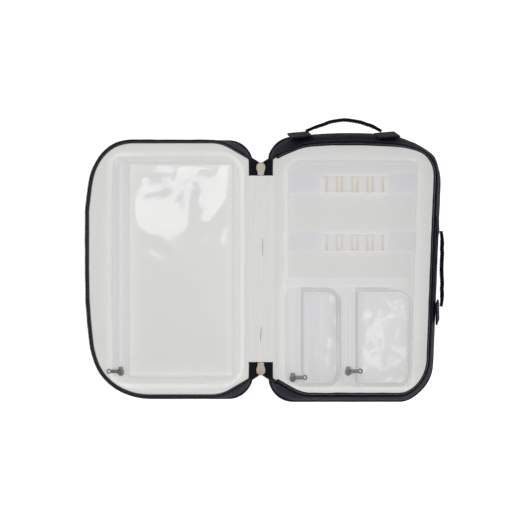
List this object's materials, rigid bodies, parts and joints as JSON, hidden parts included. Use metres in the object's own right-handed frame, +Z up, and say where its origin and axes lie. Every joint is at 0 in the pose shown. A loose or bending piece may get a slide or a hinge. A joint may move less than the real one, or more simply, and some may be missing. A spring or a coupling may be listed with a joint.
{
  "type": "travel jewelry case",
  "caption": "Soft zip-round travel jewelry case that opens flat on a fabric spine, with a lined organiser half, clear zip pouches and a clear zip pocket in the lid.",
  "frame": {"origin": "on the underside of the back half, below the middle of its rim, where the case rests", "axes": "+Z up out of the open case, +Y along the spine towards the carry handle, +X from the lid towards the back half's free side"},
  "size_m": [0.3731, 0.2937, 0.037],
  "materials": {
    "navy_fabric": "navy woven polyester",
    "navy_piping": "navy covered piping cord",
    "navy_webbing": "dark navy woven tape",
    "navy_coil": "nylon zip coil",
    "stiffener": "plain sheet",
    "foam": "plain foam",
    "white_lining": "white lining cloth",
    "white_tape": "white woven tape and coil",
    "lavender_tape": "pale lavender-white loop tape",
    "cream_elastic": "cream ribbed elastic",
    "clear_vinyl": "clear glossy film",
    "champagne_metal": "pale satin plating",
    "gunmetal": "dark satin plating"
  },
  "bodies": {
    "back_half": {"back_board": "stiffener", "back_cover": "navy_fabric", "back_cover_piping": "navy_piping", "back_foam": "foam", "back_gusset": "navy_fabric", "back_lining": "white_lining", "back_rim_piping": "navy_piping", "back_zip_chain": "navy_coil", "back_zip_tape": "navy_webbing", "left_pouch_film": "clear_vinyl", "left_pouch_strap": "lavender_tape", "left_pouch_tray": "clear_vinyl", "left_pouch_zip": "white_tape", "lower_holder_backing": "white_tape", "lower_holder_elastic": "cream_elastic", "lower_loop_tape": "lavender_tape", "organiser_panel": "white_lining", "pouch_header": "white_tape", "right_pouch_film": "clear_vinyl", "right_pouch_strap": "lavender_tape", "right_pouch_tray": "clear_vinyl", "right_pouch_zip": "white_tape", "side_handle_first_anchor": "navy_webbing", "side_handle_second_anchor": "navy_webbing", "top_handle_first_anchor": "navy_webbing", "top_handle_second_anchor": "navy_webbing", "upper_holder_backing": "white_tape", "upper_holder_elastic": "cream_elastic", "upper_loop_tape": "lavender_tape"},
    "lid": {"lid_cover": "navy_fabric", "lid_board": "stiffener", "lid_foam": "foam", "lid_gusset": "navy_fabric", "lid_cover_piping": "navy_piping", "lid_rim_piping": "navy_piping", "lid_zip_tape": "navy_webbing", "lid_zip_chain": "navy_coil", "lid_lining": "white_lining", "lid_pocket_frame": "white_lining", "lid_pocket_window": "clear_vinyl", "lid_pocket_zip": "white_tape"},
    "spine": {"spine_cover": "navy_fabric", "spine_stiffener": "stiffener", "spine_lining": "white_lining", "top_zip_end": "navy_webbing", "bottom_zip_end": "navy_webbing", "top_main_slider": "champagne_metal", "bottom_main_slider": "champagne_metal"},
    "top_handle": {"top_handle_grip": "navy_webbing"},
    "side_handle": {"side_handle_grip": "navy_webbing"},
    "top_pull": {"top_main_pull": "champagne_metal"},
    "bottom_pull": {"bottom_main_pull": "champagne_metal"},
    "lid_pocket_slider": {"lid_pocket_slider": "gunmetal"},
    "lid_pocket_pull": {"lid_pocket_pull": "gunmetal"},
    "left_pouch_slider": {"left_pouch_slider": "gunmetal"},
    "left_pouch_pull": {"left_pouch_pull": "gunmetal"},
    "right_pouch_slider": {"right_pouch_slider": "gunmetal"},
    "right_pouch_pull": {"right_pouch_pull": "gunmetal"}
  },
  "joints": [
    {"name": "spine_fold", "type": "hinge", "parent": "back_half", "child": "spine", "pos_m": [-0.083, 0, 0.025], "axis": [0, 1, 0], "range_deg": [0, 90]},
    {"name": "lid_fold", "type": "hinge", "parent": "spine", "child": "lid", "pos_m": [-0.108, 0, 0.025], "axis": [0, 1, 0], "range_deg": [0, 90]},
    {"name": "top_handle_swing", "type": "hinge", "parent": "back_half", "child": "top_handle", "pos_m": [-0.01, 0.142, 0.01518], "axis": [1, 0, 0], "range_deg": [-4, 60]},
    {"name": "side_handle_swing", "type": "hinge", "parent": "back_half", "child": "side_handle", "pos_m": [0.09077, 0, 0.01396], "axis": [0, -1, 0], "range_deg": [-35, 35]},
    {"name": "top_pull_swing", "type": "hinge", "parent": "spine", "child": "top_pull", "pos_m": [-0.0955, 0.1027, 0.0207], "axis": [1, 0, 0], "range_deg": [-75, 75]},
    {"name": "bottom_pull_swing", "type": "hinge", "parent": "spine", "child": "bottom_pull", "pos_m": [-0.0955, -0.1027, 0.0207], "axis": [1, 0, 0], "range_deg": [-75, 75]},
    {"name": "lid_pocket_zip_travel", "type": "slide", "parent": "lid", "child": "lid_pocket_slider", "axis": [0, 1, 0], "range_m": [0, 0.2093]},
    {"name": "lid_pocket_pull_lift", "type": "hinge", "parent": "lid_pocket_slider", "child": "lid_pocket_pull", "pos_m": [-0.24, -0.1059, 0.01675], "axis": [0, 1, 0], "range_deg": [0, 110]},
    {"name": "left_pouch_zip_travel", "type": "slide", "parent": "back_half", "child": "left_pouch_slider", "axis": [0, 1, 0], "range_m": [0, 0.081]},
    {"name": "left_pouch_pull_lift", "type": "hinge", "parent": "left_pouch_slider", "child": "left_pouch_pull", "pos_m": [-0.0625, -0.1118, 0.02175], "axis": [0, -1, 0], "range_deg": [0, 110]},
    {"name": "right_pouch_zip_travel", "type": "slide", "parent": "back_half", "child": "right_pouch_slider", "axis": [0, 1, 0], "range_m": [-0.0065, 0.0745]},
    {"name": "right_pouch_pull_lift", "type": "hinge", "parent": "right_pouch_slider", "child": "right_pouch_pull", "pos_m": [-0.0055, -0.1053, 0.02175], "axis": [0, -1, 0], "range_deg": [0, 110]}
  ],
  "couplings": [
    {"joint": "spine_fold", "follows": "lid_fold", "ratio": 1}
  ]
}
